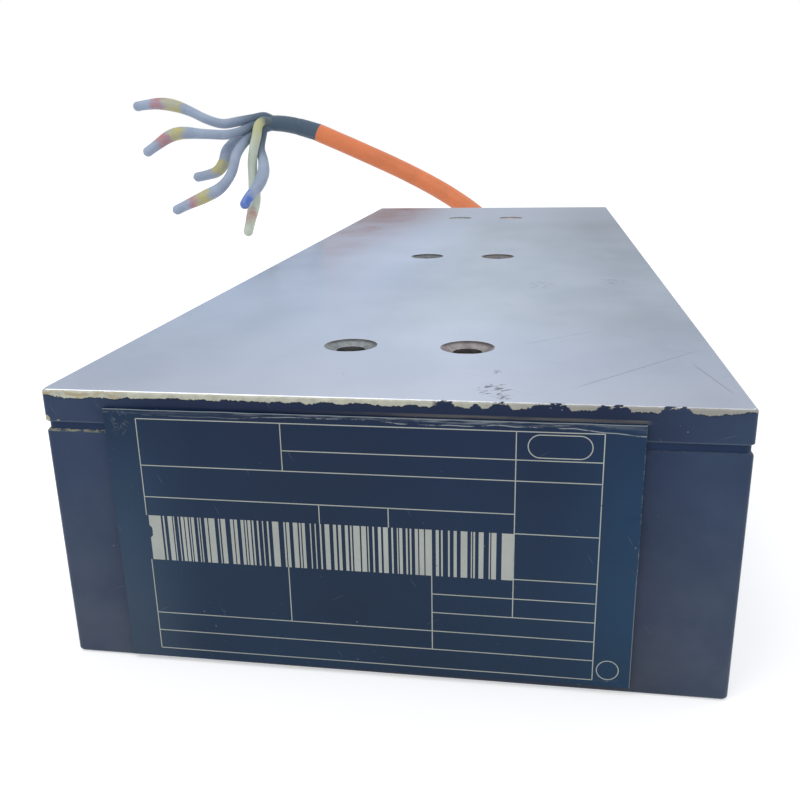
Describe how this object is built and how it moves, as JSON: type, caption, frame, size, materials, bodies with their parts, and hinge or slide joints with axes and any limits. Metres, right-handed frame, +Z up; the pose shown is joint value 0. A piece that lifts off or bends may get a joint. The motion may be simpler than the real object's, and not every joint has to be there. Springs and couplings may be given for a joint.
{
  "type": "linear motor primary",
  "caption": "Flat oblong primary of an iron-core linear motor: bare metal mounting plate on a dark blue casing, orange cable with loose stripped leads.",
  "frame": {"origin": "centre of the active face, the thin cover under the teeth, which the motor lies on", "axes": "+X to the right seen from the rating plate's end, +Y along the motor towards the cable and coolant ports, +Z up out of the mounting face"},
  "size_m": [0.2661, 0.4041, 0.0979],
  "materials": {
    "plate_metal": "satin ground metal, worn bare along its front edge",
    "casing_paint": "satin dark navy paint",
    "cover_steel": "thin stainless sheet",
    "gasket_resin": "dark sealing strip",
    "core_iron": "laminated electrical steel",
    "frame_plastic": "moulded insulation",
    "copper": "enamelled copper wire and copper tube",
    "potting_resin": "cast resin",
    "board_laminate": "glass-fibre laminate",
    "brass": "turned brass",
    "zinc_steel": "zinc-plated steel",
    "gland_nickel": "nickel-plated brass",
    "black_rubber": "black elastomer",
    "jacket_orange": "matt orange polyurethane jacket",
    "sleeve_dark": "dark heat-shrink sleeve",
    "lead_grey": "blue-grey insulating sleeve",
    "lead_earth": "green and yellow insulation under a pale sleeve",
    "label_foil": "glossy navy foil with pale lines"
  },
  "bodies": {
    "root": {"mounting_plate": "plate_metal", "casing": "casing_paint", "active_face_cover": "cover_steel", "joint_gasket": "gasket_resin", "core_stack": "core_iron", "core_clamp_left": "zinc_steel", "core_clamp_right": "zinc_steel", "core_tie_rod_1": "zinc_steel", "core_tie_rod_2": "zinc_steel", "core_tie_rod_3": "zinc_steel", "core_tie_rod_4": "zinc_steel", "coil_frame_1": "frame_plastic", "coil_frame_2": "frame_plastic", "coil_frame_3": "frame_plastic", "coil_frame_4": "frame_plastic", "coil_frame_5": "frame_plastic", "coil_frame_6": "frame_plastic", "coil_frame_7": "frame_plastic", "coil_frame_8": "frame_plastic", "coil_frame_9": "frame_plastic", "coil_u1": "copper", "coil_v1": "copper", "coil_w1": "copper", "coil_u2": "copper", "coil_v2": "copper", "coil_w2": "copper", "coil_u3": "copper", "coil_v3": "copper", "coil_w3": "copper", "cooling_tube": "copper", "coolant_port_inlet": "brass", "coolant_port_outlet": "brass", "connection_board": "board_laminate", "star_point_bar": "copper", "terminal_u": "brass", "terminal_v": "brass", "terminal_w": "brass", "temperature_sensor": "black_rubber", "earth_screw": "zinc_steel", "potting_front": "potting_resin", "potting_rear": "potting_resin", "inner_lead_u": "black_rubber", "inner_lead_v": "black_rubber", "inner_lead_w": "black_rubber", "inner_lead_earth": "lead_earth", "gland_body": "gland_nickel", "gland_seal": "black_rubber", "gland_nut": "gland_nickel", "gland_lock_nut": "gland_nickel", "cable_jacket": "jacket_orange", "cable_sleeve": "sleeve_dark", "lead_1": "lead_grey", "lead_2": "lead_grey", "lead_3": "lead_grey", "lead_4": "lead_grey", "lead_earth": "lead_earth", "lead_sensor": "lead_grey", "rating_plate": "label_foil"}
  },
  "joints": []
}
